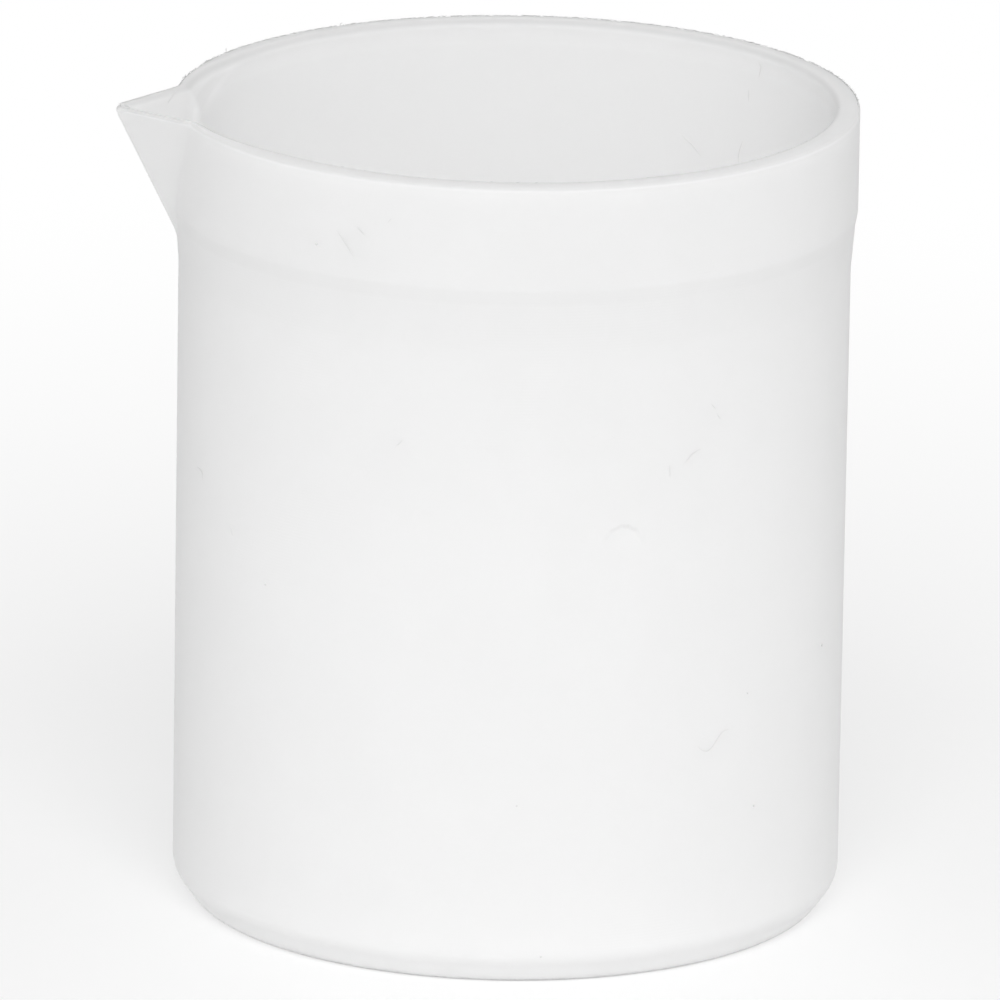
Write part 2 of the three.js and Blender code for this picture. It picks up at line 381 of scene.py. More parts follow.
def spout_values(sizes):
    """Values for the trees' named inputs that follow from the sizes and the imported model."""
    rim_height, collar_radius, tip_radius = NODE_HIGH.z, NODE_HIGH.y, -NODE_LOW.x
    rim_bore = sizes.body_radius - sizes.wall + sizes.rim_inner_round
    ridge_slope = (tip_radius - sizes.body_radius) / (sizes.spout_depth - sizes.nose_height)
    ridge_centre = tip_radius + ridge_slope * sizes.nose_height - sizes.ridge_radius
    flank_distance = ridge_centre * math.sin(sizes.flank_angle) + sizes.ridge_radius
    channel_reach = tip_radius - sizes.lip_wall - rim_bore
    return {
        "Rim Height": rim_height,
        "Collar Radius": collar_radius,
        "Rim Bore": rim_bore,
        "Tip Radius": tip_radius,
        "Flank Angle": sizes.flank_angle,
        "Ridge Radius": sizes.ridge_radius,
        "Ridge Centre": ridge_centre,
        "Ridge Slope": ridge_slope,
        "Crease": sizes.crease,
        "Lip Wall": sizes.lip_wall,
        "Channel Slope": channel_reach / (sizes.spout_depth - sizes.channel_rise),
        "Channel Softness": sizes.channel_softness,
        "Flare Start": math.asin(flank_distance / collar_radius) - sizes.flank_angle,
        "Flare Spread": sizes.flare_spread,
        "Wall Radius": sizes.body_radius,
        "Nick Turn": sizes.nick_turn,
        "Nick Place": sizes.nick_height,
        "Nick Radius": sizes.nick_radius,
        "Nick Depth": sizes.nick_depth,
    }


SPOUT_INPUTS = ("Tip Radius", "Flank Angle", "Ridge Radius", "Ridge Centre", "Ridge Slope", "Crease")
CHANNEL_INPUTS = (
    "Collar Radius", "Rim Bore", "Lip Wall", "Channel Slope", "Channel Softness", "Flare Start",
    "Flare Spread",
)
NICK_INPUTS = ("Wall Radius", "Nick Turn", "Nick Place", "Nick Radius", "Nick Depth")


def spout_tree():
    """How far the spout stands out of the wall: two flanks, a round ridge and a square nose."""
    names = ("Turn", "Depth", "Wall", *SPOUT_INPUTS)
    put, given, end = start_tree("Spout Outside", names, FLOAT, "Stand")
    nearest = put("SUBTRACT", math.pi / 2, given["Flank Angle"])
    either = put("ABSOLUTE", given["Turn"])
    side = put("MINIMUM", either, nearest)
    inward = put("MULTIPLY", given["Depth"], given["Ridge Slope"])
    centre = put("SUBTRACT", given["Ridge Centre"], inward)
    flank_sine = put("SINE", given["Flank Angle"])
    flank_cosine = put("COSINE", given["Flank Angle"])
    side_sine = put("SINE", side)
    side_cosine = put("COSINE", side)

    distance = put("MULTIPLY_ADD", centre, flank_sine, given["Ridge Radius"])
    leaning = put("ADD", side, given["Flank Angle"])
    leaning_sine = put("SINE", leaning)
    flank = put("DIVIDE", distance, leaning_sine)

    across = put("MULTIPLY", centre, side_sine)
    across_square = put("MULTIPLY", across, across)
    ridge_square = put("MULTIPLY", given["Ridge Radius"], given["Ridge Radius"])
    bulge_square = put("SUBTRACT", ridge_square, across_square)
    not_negative = put("MAXIMUM", bulge_square, 0)
    bulge = put("SQRT", not_negative)
    ridge = put("MULTIPLY_ADD", centre, side_cosine, bulge)

    tangent_across = put("MULTIPLY", given["Ridge Radius"], flank_cosine)
    tangent_out = put("MULTIPLY_ADD", given["Ridge Radius"], flank_sine, centre)
    ridge_end = put("ARCTAN2", tangent_across, tangent_out)
    on_flank = put("GREATER_THAN", side, ridge_end)
    wedge = put(MIX, on_flank, named={2: ridge, 3: flank})
    nose = put("DIVIDE", given["Tip Radius"], side_cosine)
    section = put("MINIMUM", wedge, nose)

    stand = put("SUBTRACT", section, given["Wall"])
    soft = put("SMOOTH_MAX", stand, 0, given["Crease"])
    return end_tree(end, soft)


def channel_tree():
    """How far the pouring channel stands out of the bore, fading over the flare on both sides."""
    names = ("Turn", "Depth", "Rim Stand", *CHANNEL_INPUTS)
    put, given, end = start_tree("Pouring Channel", names, FLOAT, "Stand")
    side = put("ABSOLUTE", given["Turn"])
    flare_end = put("ADD", given["Flare Start"], given["Flare Spread"])
    past = put(RAMP, side, given["Flare Start"], flare_end, 0, math.pi / 2)
    cosine = put("COSINE", past)
    fade = put("MULTIPLY", cosine, cosine)

    rim = put("ADD", given["Collar Radius"], given["Rim Stand"])
    edge = put("SUBTRACT", rim, given["Lip Wall"])
    full_reach = put("SUBTRACT", edge, given["Rim Bore"])
    reach = put("MULTIPLY", full_reach, fade)
    drop = put("MULTIPLY", given["Channel Slope"], given["Depth"])
    stand = put("SUBTRACT", reach, drop)
    softness = put("MINIMUM", given["Channel Softness"], reach)
    soft = put("SMOOTH_MAX", stand, 0, softness)
    return end_tree(end, soft)


def nick_tree():
    """How deep the nick is: a scoop with a steep arched edge above, which runs out downwards."""
    put, given, end = start_tree("Nick", ("Turn", "Height", *NICK_INPUTS), FLOAT, "Depth")
    swing = put("SUBTRACT", given["Turn"], given["Nick Turn"])
    aside = put("MULTIPLY", swing, given["Wall Radius"])
    above = put("SUBTRACT", given["Height"], given["Nick Place"])
    spot = put("ShaderNodeCombineXYZ", aside, above, 0)
    away = put(VECTOR_MATH, spot, operation="LENGTH").outputs["Value"]
    # The edge is ragged: it wanders by up to 0.7 mm, in bites about 0.8 mm across
    bites = put(NOISE, spot, named={"Scale": 1 / (0.8 * MM), "Detail": 2})
    wandered = put("MULTIPLY_ADD", bites, 0.7 * MM, away)

    # In shares of its radius, it is full deep 0.18 inside its edge, and runs out from 0.85 up to -0.1
    outwards = put("DIVIDE", wandered, given["Nick Radius"])
    edge = put(RAMP, outwards, 1, 0.82, 0, 1, interpolation_type="SMOOTHSTEP")
    upwards = put("DIVIDE", above, given["Nick Radius"])
    run_out = put(RAMP, upwards, -0.1, 0.85, 0, 1, interpolation_type="SMOOTHSTEP")
    shape = put("MULTIPLY", edge, run_out)
    depth = put("MULTIPLY", shape, given["Nick Depth"])
    return end_tree(end, depth)


def wrap_tree():
    """Wraps an unrolled place, given as radius, turn and height, round the axis."""
    names = ("Radius", "Turn", "Height")
    put, given, end = start_tree("Wrap Round Axis", names, VECTOR, "Place")
    backwards = put("MULTIPLY", given["Radius"], -1)
    cosine = put("COSINE", given["Turn"])
    sine = put("SINE", given["Turn"])
    along_x = put("MULTIPLY", backwards, cosine)
    along_y = put("MULTIPLY", backwards, sine)
    place = put("ShaderNodeCombineXYZ", along_x, along_y, given["Height"])
    return end_tree(end, place)


def unrolled_place(put):
    """The radius, turn and height that a point holds in place of X, Y and Z."""
    return put(SPLIT, put("GeometryNodeInputPosition")).outputs


def wrap_points(put, geometry, radius, turn, height):
    """Geometry with its points at this radius, turn and height round the axis."""
    wrap = put(GROUP, node_tree=wrap_tree(), named={"Radius": radius, "Turn": turn, "Height": height})
    return put("GeometryNodeSetPosition", geometry, named={"Position": wrap})


def cup_tree():
    """Pushes the spout, the channel and the nick out of the unrolled skin, and wraps it."""
    sizes = ("Rim Height", *SPOUT_INPUTS, *CHANNEL_INPUTS, *NICK_INPUTS)
    inputs = (("Geometry", GEOMETRY), *sizes, ("Material", MATERIAL))
    put, given, end = start_tree("Beaker Cup", inputs)
    radius, turn, height = unrolled_place(put)
    inside = put(ATTRIBUTE, "inside", data_type="FLOAT")
    wall = put(ATTRIBUTE, "wall", data_type="FLOAT")
    depth = put("SUBTRACT", given["Rim Height"], height)

    outside = spout_tree()
    own = {name: given[name] for name in SPOUT_INPUTS}
    on_wall = {"Turn": turn, "Depth": depth, "Wall": wall}
    stand = put(GROUP, node_tree=outside, named={**on_wall, **own})
    at_rim = {"Turn": turn, "Wall": given["Collar Radius"]}
    rim_stand = put(GROUP, node_tree=outside, named={**at_rim, **own})
    own = {name: given[name] for name in CHANNEL_INPUTS}
    in_bore = {"Turn": turn, "Depth": depth, "Rim Stand": rim_stand}
    channel = put(GROUP, node_tree=channel_tree(), named={**in_bore, **own})
    own = {name: given[name] for name in NICK_INPUTS}
    nick = put(GROUP, node_tree=nick_tree(), named={"Turn": turn, "Height": height, **own})

    outer_stand = put("SUBTRACT", stand, nick)
    moved = put(MIX, inside, named={2: outer_stand, 3: channel})
    final = put("ADD", radius, moved)
    wrapped = wrap_points(put, given["Geometry"], final, turn, height)
    closed = put("GeometryNodeMergeByDistance", wrapped, named={"Distance": 0.0001 * MM})
    return finish_tree(put, closed, given["Material"], end)


def finish_tree(put, geometry, material, end):
    """Ends a tree: smooth shading, real geometry in place of instances, and the material."""
    smooth = put("GeometryNodeSetShadeSmooth", geometry)
    real = put("GeometryNodeRealizeInstances", smooth)
    finished = put("GeometryNodeSetMaterial", real, named={"Material": material})
    return end_tree(end, finished)


def fibre_tree():
    """Turns lines of unrolled points into fine fibres that taper towards both ends."""
    inputs = (("Geometry", GEOMETRY), "Thickness", "Step", ("Material", MATERIAL))
    put, given, end = start_tree("Loose Fibres", inputs)
    line = put("GeometryNodeMeshToCurve", wrap_points(put, given["Geometry"], *unrolled_place(put)))
    bent = put("GeometryNodeCurveSplineType", line, spline_type="CATMULL_ROM")
    even = put("GeometryNodeResampleCurve", bent, mode="LENGTH", named={"Length": given["Step"]})

    # Full thick over the middle two fifths, and two fifths of that at the tips
    along = put("GeometryNodeSplineParameter")
    to_middle = put("PINGPONG", along, 0.5)
    taper = put(RAMP, to_middle, 0, 0.3, 0.2, 0.5)
    thickness = put("MULTIPLY", taper, given["Thickness"])
    ring = put("GeometryNodeCurvePrimitiveCircle", named={"Resolution": 6, "Radius": 1})
    solid = put("GeometryNodeCurveToMesh", even, ring, named={"Scale": thickness, "Fill Caps": True})
    return finish_tree(put, solid, given["Material"], end)


def speck_tree():
    """Puts a round speck on each unrolled point, in the point's own size."""
    inputs = (("Geometry", GEOMETRY), "Width", ("Material", MATERIAL))
    put, given, end = start_tree("Specks", inputs)
    points = wrap_points(put, given["Geometry"], *unrolled_place(put))
    ball = put("GeometryNodeMeshIcoSphere", named={"Radius": 0.5, "Subdivisions": 2})
    size_share = put(ATTRIBUTE, "share", data_type="FLOAT")
    scale = put("MULTIPLY", size_share, given["Width"])
    balls = put("GeometryNodeInstanceOnPoints", points, named={"Instance": ball, "Scale": scale})
    return finish_tree(put, balls, given["Material"], end)


BURR_INPUTS = (
    "First Turn", "Last Turn", "Edge Radius", "Edge Height", "Follow Spout", "Root", "Reach", "Sweep",
    "Burr Thickness", "Collar Radius",
)


def burr_tree():
    """Strews burrs along a rim's edge. Each starts in the wall and runs out along the edge."""
    inputs = (
        ("Count", WHOLE), ("Seed", WHOLE), *BURR_INPUTS, *SPOUT_INPUTS,
        ("Lowest", VECTOR), ("Highest", VECTOR), ("Material", MATERIAL),
    )
    put, given, end = start_tree("Rim Burrs", inputs)
    line = put("GeometryNodeCurvePrimitiveLine", named={"End": (1, 0, 0)})
    bendy = put("GeometryNodeResampleCurve", line, named={"Count": 5})
    amount = {"Amount": given["Count"]}
    copies = put("GeometryNodeDuplicateElements", bendy, domain="SPLINE", named=amount)
    picks = []
    for nth, (low, high) in enumerate(((given["First Turn"], given["Last Turn"]), (0.1, 1), (-1, 1))):
        seed = put("ADD", given["Seed"], nth)
        between = {2: low, 3: high, 7: copies.outputs[1], 8: seed}
        picks.append(put("FunctionNodeRandomValue", named=between, data_type="FLOAT").outputs[1])
    turn, reach_share, sweep_share = picks

    # Along the rim, with the spout's stand taken anew at each point
    along = put("GeometryNodeSplineParameter")
    swept = put("MULTIPLY", sweep_share, given["Sweep"])
    swing = put("DIVIDE", swept, given["Collar Radius"])
    turn_here = put("MULTIPLY_ADD", along, swing, turn)
    own = {name: given[name] for name in SPOUT_INPUTS}
    at_rim = {"Turn": turn_here, "Wall": given["Collar Radius"]}
    stand = put(GROUP, node_tree=spout_tree(), named={**at_rim, **own})
    edge = put("MULTIPLY_ADD", stand, given["Follow Spout"], given["Edge Radius"])

    # Out of the wall and up: mostly by little, and soonest at the root
    mostly_short = put("POWER", reach_share, 4)
    reach = put("MULTIPLY", mostly_short, given["Reach"])
    soon = put("POWER", along, 0.4)
    out = put(RAMP, soon, 0, 1, given["Root"], reach)
    radius = put("ADD", edge, out)
    rise = put(RAMP, soon, 0, 1, -0.15 * MM, 0.02 * MM)
    height = put("ADD", given["Edge Height"], rise)
    unrolled = {"Radius": radius, "Turn": turn_here, "Height": height}
    wrap = put(GROUP, node_tree=wrap_tree(), named=unrolled)
    capped = put(VECTOR_MATH, wrap, given["Highest"], operation="MINIMUM")
    kept = put(VECTOR_MATH, capped, given["Lowest"], operation="MAXIMUM")
    placed = put("GeometryNodeSetPosition", copies, named={"Position": kept})

    taper = put(RAMP, along, 0, 1, 0.5, 0.15)
    thickness = put("MULTIPLY", taper, given["Burr Thickness"])
    ring = put("GeometryNodeCurvePrimitiveCircle", named={"Resolution": 5, "Radius": 1})
    solid = put("GeometryNodeCurveToMesh", placed, ring, named={"Scale": thickness, "Fill Caps": True})
    return finish_tree(put, solid, given["Material"], end)


def section_corners(sizes):
    """The section's corners: from the base's centre up the outside, over the rim, and down inside."""
    rim, collar, body = NODE_HIGH.z, NODE_HIGH.y, sizes.body_radius
    bore = body - sizes.wall
    collar_foot = rim - sizes.collar_height
    spout_foot = rim - sizes.spout_depth - BELOW_SPOUT

    # The rows that stand close for the nick reach from just under its run-out to just over its edge
    nick_low = sizes.nick_height - sizes.nick_radius * 0.2
    nick_high = sizes.nick_height + sizes.nick_radius * 1.1

    # The crown falls with the square of the distance from the inner round
    rim_bore = bore + sizes.rim_inner_round
    crown_width = collar - sizes.rim_outer_round - rim_bore
    rim_edge = rim - sizes.rim_fall * ((collar - rim_bore) / crown_width) ** 2
    crown = [
        Corner(rim_bore + crown_width * part, rim - sizes.rim_fall * part ** 2, 0, 0, 1, 1 - part)
        for part in (0.8, 0.6, 0.4, 0.2)
    ]
    return [
        Corner(0, 0, 0, 0, 1, 0),
        Corner(body / 2, 0, 0, 0, 2, 0),
        Corner(body - sizes.foot_width, 0, FOOT_EDGE_ROUND, 6, 3, 0),
        Corner(body, sizes.foot_height, FOOT_CORNER_ROUND, 8, 3, 0),
        Corner(body, nick_low, 0, 0, 26, 0),
        Corner(body, nick_high, 0, 0, 4, 0),
        Corner(body, collar_foot - sizes.run_out, RUN_OUT_ROUND, 3, 10, 0),
        Corner(collar - sizes.taper_width, collar_foot - sizes.taper_height, TAPER_ROUND, 4, 3, 0),
        Corner(collar, collar_foot, COLLAR_FOOT_ROUND, 4, 24, 0),
        Corner(collar, rim_edge, sizes.rim_outer_round, 6, 1, 0),
        *crown,
        Corner(bore, rim, sizes.rim_inner_round, 9, 34, 1),
        Corner(bore, spout_foot, 0, 0, 5, 1),
        Corner(bore, sizes.floor, sizes.floor_round, 10, 2, 1),
        Corner(bore / 2, sizes.floor, 0, 0, 1, 1),
        Corner(0, sizes.floor, 0, 0, 0, 1),
    ]


def section_rows(corners):
    """The section's rows (place, inside, distance): arcs for rounds, and even steps between."""
    points = [Vector((corner.radius, corner.height)) for corner in corners]
    arcs = []
    for index, corner in enumerate(corners):
        if not corner.round:
            arcs.append([points[index]])
            continue
        back = (points[index - 1] - points[index]).normalized()
        ahead = (points[index + 1] - points[index]).normalized()
        half = back.angle(ahead) / 2
        centre = points[index] + (back + ahead).normalized() * corner.round / math.sin(half)
        first = points[index] + back * corner.round / math.tan(half) - centre
        last = points[index] + ahead * corner.round / math.tan(half) - centre
        shares = [step / corner.arc_steps for step in range(corner.arc_steps + 1)]
        arcs.append([centre + corner.round * first.slerp(last, part) for part in shares])
    rows = []
    for index, corner in enumerate(corners):
        rows += [(point, corner.inside) for point in arcs[index]]
        if not corner.run_steps:
            continue
        start, end = arcs[index][-1], arcs[index + 1][0]
        hold = HOLD / (end - start).length if corner.run_steps > 1 else 0
        steps = range(corner.run_steps + 1)
        shares = [hold + (1 - 2 * hold) * step / corner.run_steps for step in steps]
        gain = corners[index + 1].inside - corner.inside
        rows += [(start.lerp(end, part), corner.inside + gain * part) for part in shares]
    travelled, result = 0, []
    for index, (point, inside) in enumerate(rows):
        travelled += (point - rows[max(index - 1, 0)][0]).length
        result.append((point, inside, travelled))
    return [row for index, row in enumerate(result) if not index or row[2] > result[index - 1][2]]


def wall_radius(rows, height, inside):
    """The section's radius at a height, outside where inside is 0, and in the bore where it is 1."""
    side = [place for place, share_inside, _ in rows if share_inside == inside]
    for one, other in zip(side, side[1:]):
        if one.y != other.y and min(one.y, other.y) <= height <= max(one.y, other.y):
            return one.lerp(other, (height - one.y) / (other.y - one.y)).x
    raise RuntimeError(f"The wall has no place at {height:.4f} m")


def skin_turns():
    """The turns of the skin's columns, in radians, once round from the back."""
    turns, start = [-180], -180
    for stop, steps in COLUMN_STRETCHES:
        turns += [start + (stop - start) * step / steps for step in range(1, steps + 1)]
        start = stop
    return [math.radians(turn) for turn in turns]


def unrolled_skin(sizes):
    """A flat mesh whose points hold radius, turn and height in place of X, Y and Z."""
    rows, turns = section_rows(section_corners(sizes)), skin_turns()
    places = [place for place, _, _ in rows]

    # On the rim's top the spout stands out of the collar. The top's outer corner is 1.63 falls down
    rim_edge = NODE_HIGH.z - 1.7 * sizes.rim_fall - sizes.rim_outer_round
    walls = [
        NODE_HIGH.y if place.y >= rim_edge else max(place.x, sizes.body_radius) for place in places
    ]
    edges = []
    # The edge attribute holds painted shade: fullest where the rim's rounds slope by 45 degrees and
    # face the lamp, and some on the wall just under the outer round
    for before, (place, inside, _), after in zip(places[:1] + places, rows, places[1:] + places[-1:]):
        slope = (after - before).normalized()
        near_top = max(0, 1 - (NODE_HIGH.z - place.y) / sizes.rim_inner_round)
        # 1 where the round slopes by 45 degrees, and 0 where it is level or upright
        on_round = (2 * slope.x * slope.y) ** 2
        torn = on_round * (OUTER_ROUND_SHADE + (INNER_ROUND_SHADE - OUTER_ROUND_SHADE) * inside)
        edges.append(max(torn, 0 if inside else UNDER_ROUND_SHADE * near_top) if near_top else 0)
    values = {
        "inside": [inside for _, inside, _ in rows], "along": [distance for _, _, distance in rows],
        "wall": walls, "edge": edges,
    }
    points = [(place.x, turn, place.y) for turn in turns for place in places]
    starts = [
        column * len(rows) + row for column in range(len(turns) - 1) for row in range(len(rows) - 1)
    ]
    faces = [(start, start + len(rows), start + len(rows) + 1, start + 1) for start in starts]
    mesh = bpy.data.meshes.new("unrolled_skin")
    mesh.from_pydata(points, [], faces)
    for name, column in values.items():
        mesh.attributes.new(name, "FLOAT", "POINT").data.foreach_set("value", column * len(turns))
    return mesh


def unrolled_lines(name, sizes, runs, inside):
    """A mesh of loose edges on the wall, whose points hold radius, turn and height."""
    rows = section_rows(section_corners(sizes))
    points, edges = [], []
    for run in runs:
        edges += [(len(points) + step, len(points) + step + 1) for step in range(len(run) - 1)]
        for turn, height, *radius in run:
            reach = radius[0] * MM if radius else wall_radius(rows, height * MM, inside)
            points.append((reach, math.radians(turn), height * MM))
    mesh = bpy.data.meshes.new(name)
    mesh.from_pydata(points, edges, [])
    return mesh


def start_material(name, values):
    """A new material with these values, given with what puts nodes in it, its shader and its end."""
    material = bpy.data.materials.new(name)
    material.use_nodes = True
    tree = material.node_tree
    shader, end = tree.nodes["Principled BSDF"], tree.nodes["Material Output"]
    feed(shader, values)
    return material, partial(add, tree), shader, end


def lint_material(name, tint):
    """Lint and swarf of the same fluoropolymer, torn off by the tool: matt, and greyed by dust."""
    values = {"Base Color": (*tint, 1), "Roughness": MATT, "IOR": IOR}
    return start_material(name, values)[0]


def spot_on_cup(put):
    """A point of the cup: its place, whether it is inside, its height, and its way off the axis."""
    place = put("ShaderNodeTexCoord").outputs["Object"]
    inside = put("ShaderNodeAttribute", attribute_name="inside").outputs["Fac"]
    height = put(SPLIT, place).outputs["Z"]
    flat_place = put(VECTOR_MATH, place, (1, 1, 0), operation="MULTIPLY")
    off_axis = put(VECTOR_MATH, flat_place, operation="LENGTH").outputs["Value"]
    return Spot(place, inside, height, off_axis)


def white_with_painted_light(put, looks, sizes, spot):
    """The white before the painted shade: cloudy outside, with painted light that makes it lighter in
    the bore and low on the wall.
    """
    rim, bore = NODE_HIGH.z, sizes.body_radius - sizes.wall
    clouds = put(NOISE, spot.place, named={"Scale": 1 / CLOUD_WIDTH, "Detail": 3, "Roughness": 0.6})
    whites = {6: (*looks.cloud, 1), 7: (*looks.white, 1)}
    cloudy = put(MIX, clouds, named=whites, data_type="RGBA").outputs[2]

    # Painted light in the bore: full from this depth down, and none in the pouring channel
    in_depth = put(RAMP, spot.height, rim, rim - looks.bore_painted_light_depth, 0, 1)
    channel_edge = bore + BORE_LIGHT_STOPS_PAST, bore + sizes.rim_inner_round
    in_channel = put(RAMP, spot.off_axis, *channel_edge, 0, 1)
    in_bore = put("SUBTRACT", in_depth, in_channel, use_clamp=True)
    bore_painted_light = put("MULTIPLY", spot.inside, in_bore)
    # Painted light near the foot, against the floor's shade, and on the wall from under the collar
    # down to half its height, and below
    in_foot = put(RAMP, spot.height, looks.foot_painted_light, FOOT_LIGHT_FULL_HEIGHT, 0, FOOT_LIGHT_SHARE)
    lower_wall_painted_light = put(RAMP, spot.height, rim - sizes.collar_height, rim / 2, 0, looks.lower_wall_painted_light)
    outside_painted_light = put("MAXIMUM", in_foot, lower_wall_painted_light)
    painted_light_share = put("MAXIMUM", bore_painted_light, outside_painted_light)
    return put(MIX, painted_light_share, named={6: cloudy, 7: (*looks.painted_light_white, 1)}, data_type="RGBA").outputs[2]


def white_with_painted_shade(put, looks, sizes, spot, white):
    """That white with painted shade on the rim's rounded edges, in the channel and its crease, and on
    the lip's top.
    """
    rim, bore = NODE_HIGH.z, sizes.body_radius - sizes.wall
    # Painted shade on the rim's rounded edges
    edge = put("ShaderNodeAttribute", attribute_name="edge").outputs["Fac"]
    under_top = put(RAMP, spot.height, rim - sizes.rim_fall, rim - EDGE_DEPTH, 0, 1)
    # Painted shade in the channel, which faces up towards the lamp
    far_in = put(RAMP, spot.off_axis, *(bore + past for past in CHANNEL_SHADE_GROWS), 0, 1)
    in_spout = put("MULTIPLY", far_in, under_top)

    # Painted shade on the soft crease where the channel runs into the bore, which catches light from
    # above
    starts, ends = ([bore + past for past in band] for band in (CREASE_STARTS, CREASE_ENDS))
    past_bore = put(RAMP, spot.off_axis, *starts, 0, CREASE_SHADE)
    before_channel = put(RAMP, spot.off_axis, *ends, 1, 0)
    crease = put("MULTIPLY", past_bore, before_channel)
    under_round = put(RAMP, spot.height, rim - EDGE_DEPTH, rim - CREASE_DEPTH, 0, 1)
    on_crease = put("MULTIPLY", crease, under_round)
    channel_and_crease_shade = put("MAXIMUM", in_spout, on_crease)
    inside_shade = put("MULTIPLY", spot.inside, channel_and_crease_shade)
    channel_shade_part = put("MULTIPLY", inside_shade, looks.channel_painted_shade)
    painted_shade_share = put("MAXIMUM", edge, channel_shade_part)
    edged = put(MIX, painted_shade_share, named={6: white, 7: (*looks.edge, 1)}, data_type="RGBA").outputs[2]

    # Painted shade on the top of the spout's lip
    in_lip = put(RAMP, spot.off_axis, NODE_HIGH.y, NODE_HIGH.y + LIP_PAST_COLLAR, 0, 1)
    on_top = put(RAMP, spot.height, rim - EDGE_DEPTH, rim - LIP_TOP_DEPTH, 0, 1)
    outside = put("SUBTRACT", 1, spot.inside)
    lip_top = put("MULTIPLY", in_lip, on_top)
    lip = put("MULTIPLY", lip_top, outside)
    return put(MIX, lip, named={6: edged, 7: (*looks.lip, 1)}, data_type="RGBA").outputs[2]


def fluoropolymer_material(looks, sizes):
    """Sintered fluoropolymer, turned on a lathe: waxy white that light enters a little, with faint
    clouds, fine turning marks round the axis, and a low sheen that is broken by rubbed patches."""
    material, put, shader, _ = start_material("turned_fluoropolymer", {
        "IOR": IOR, "Specular IOR Level": 0.3, "Subsurface Weight": looks.translucency,
        "Subsurface Radius": (1, 1, 1), "Subsurface Scale": looks.light_path,
    })
    spot = spot_on_cup(put)
    white = white_with_painted_light(put, looks, sizes, spot)
    feed(shader, {"Base Color": white_with_painted_shade(put, looks, sizes, spot, white)})

    rubs = put(NOISE, spot.place, named={"Scale": 1 / RUB_WIDTH, "Detail": 4, "Roughness": 0.6})
    rubbed, matt = looks.roughness - RUB_SPREAD, looks.roughness + RUB_SPREAD
    feed(shader, {"Roughness": put(RAMP, rubs, 0.3, 0.7, rubbed, matt)})

    along = put("ShaderNodeAttribute", attribute_name="along").outputs["Fac"]
    phase = put("MULTIPLY", along, 2 * math.pi / MARK_PITCH)
    marks = put("SINE", phase)
    uneven = put("MULTIPLY", marks, rubs)
    marked = {"Strength": 0.25, "Distance": RELIEF_HEIGHT, "Height": uneven}
    turned = put("ShaderNodeBump", named=marked)

    pits = put(NOISE, spot.place, named={"Scale": 1 / PIT_WIDTH, "Detail": 2})
    pitted = {"Strength": 0.2, "Distance": RELIEF_HEIGHT, "Height": pits, "Normal": turned}
    feed(shader, {"Normal": put("ShaderNodeBump", named=pitted)})
    return material


def floor_material(looks):
    """A matt white table top. The camera sees it white, with a soft part of the beaker's shadow."""
    values = {"Base Color": (*looks.floor_white, 1), "Roughness": MATT}
    material, put, shader, end = start_material("white_table_top", values)
    place = put("ShaderNodeTexCoord").outputs["Object"]
    distance = put(VECTOR_MATH, place, operation="LENGTH").outputs["Value"]
    fade = *SHADOW_FADES, SHADOW_CLEARED, 1
    cleared = put(RAMP, distance, *fade, interpolation_type="SMOOTHSTEP")
    seen = background_rays(put)
    white = put("ShaderNodeEmission", (1, 1, 1, 1), 1)
    amount = put("MULTIPLY", cleared, seen)
    feed(end, {"Surface": put("ShaderNodeMixShader", amount, shader, white)})
    return material


def background_rays(put):
    """1 for rays from the camera or through gloss or glass, which see the background, 0 for light."""
    path = put("ShaderNodeLightPath").outputs
    gloss = put("MAXIMUM", path["Is Camera Ray"], path["Is Glossy Ray"])
    return put("MAXIMUM", gloss, path["Is Transmission Ray"])


class BEAKER_OT_make_cup(bpy.types.Operator):
    """Makes the cup with its spout, in place of the plain solid"""

    bl_idname = "beaker.make_cup"
    bl_label = "Make Cup"

    def execute(self, context):
        sizes, _, looks = scene_settings(context.scene)
        cup = bpy.data.objects.new("turned_cup", unrolled_skin(sizes))
        material = fluoropolymer_material(looks, sizes)
        grow(cup, cup_tree(), {**spout_values(sizes), "Material": material})
        hand_over(cup, "beaker")
        return {"FINISHED"}


class BEAKER_OT_make_fibres(bpy.types.Operator):
    """Makes the loose fibres that cling to the wall and the bore"""

    bl_idname = "beaker.make_fibres"
    bl_label = "Make Fibres"

    def execute(self, context):
        sizes, traces, looks = scene_settings(context.scene)
        lint = lint_material("dusty_lint", looks.lint)
        bore_lint = lint_material("clean_lint", looks.bore_lint)
        tree = fibre_tree()
        shared = {"Thickness": traces.fibre_thickness, "Step": 0.2 * MM}
        for name, runs, inside, material in (
            ("outer_fibres", OUTER_FIBRES, 0, lint),
            ("bore_fibres", BORE_FIBRES, 1, bore_lint),
            ("rim_fibres", RIM_FIBRES, 1, lint),
        ):
            fibres = bpy.data.objects.new(name, unrolled_lines(name, sizes, runs, inside))
            grow(fibres, tree, {**shared, "Material": material})
            hand_over(fibres)
        return {"FINISHED"}


class BEAKER_OT_make_specks(bpy.types.Operator):
    """Makes the specks on the wall"""

    bl_idname = "beaker.make_specks"
    bl_label = "Make Specks"

    def execute(self, context):
        sizes, traces, looks = scene_settings(context.scene)
        mesh = unrolled_lines("specks", sizes, [[(turn, height)] for turn, height, _ in SPECKS], 0)
        size_shares = mesh.attributes.new("share", "FLOAT", "POINT")
        size_shares.data.foreach_set("value", [size for _, _, size in SPECKS])
        specks = bpy.data.objects.new("specks", mesh)
        dusty = lint_material("dusty_specks", looks.lint)
        grow(specks, speck_tree(), {"Width": traces.speck_size, "Material": dusty})
        hand_over(specks)
        return {"FINISHED"}


